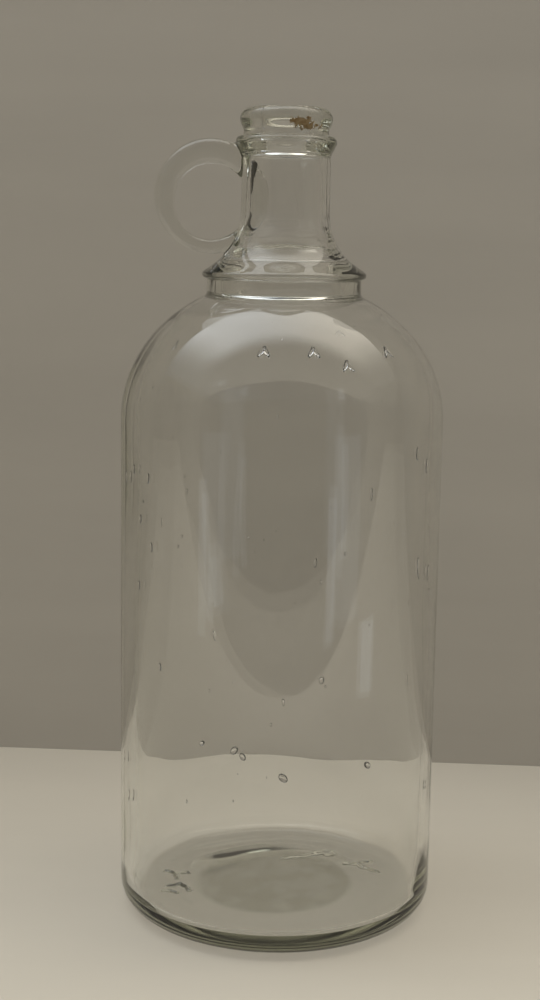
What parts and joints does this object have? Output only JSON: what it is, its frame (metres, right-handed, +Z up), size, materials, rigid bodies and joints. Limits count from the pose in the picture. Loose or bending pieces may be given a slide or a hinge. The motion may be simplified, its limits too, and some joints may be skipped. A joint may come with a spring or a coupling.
{
  "type": "growler jug",
  "caption": "Tall round clear glass jug with a domed shoulder, flared skirt, narrow bored neck, beaded lip and a finger ring beside the neck.",
  "frame": {"origin": "on the jug's axis, in the plane that its bearing ring stands on", "axes": "+Z up along the axis to the mouth, the finger ring on -X, so the ring's hole runs along Y"},
  "size_m": [0.118, 0.118, 0.2958],
  "materials": {
    "clear_glass": "clear, faintly olive in the thick base, with old scuffs"
  },
  "bodies": {
    "root": {"base": "clear_glass", "barrel": "clear_glass", "shoulder": "clear_glass", "shoulder_step": "clear_glass", "skirt": "clear_glass", "neck": "clear_glass", "collar": "clear_glass", "lip": "clear_glass", "finger_ring": "clear_glass"}
  },
  "joints": []
}
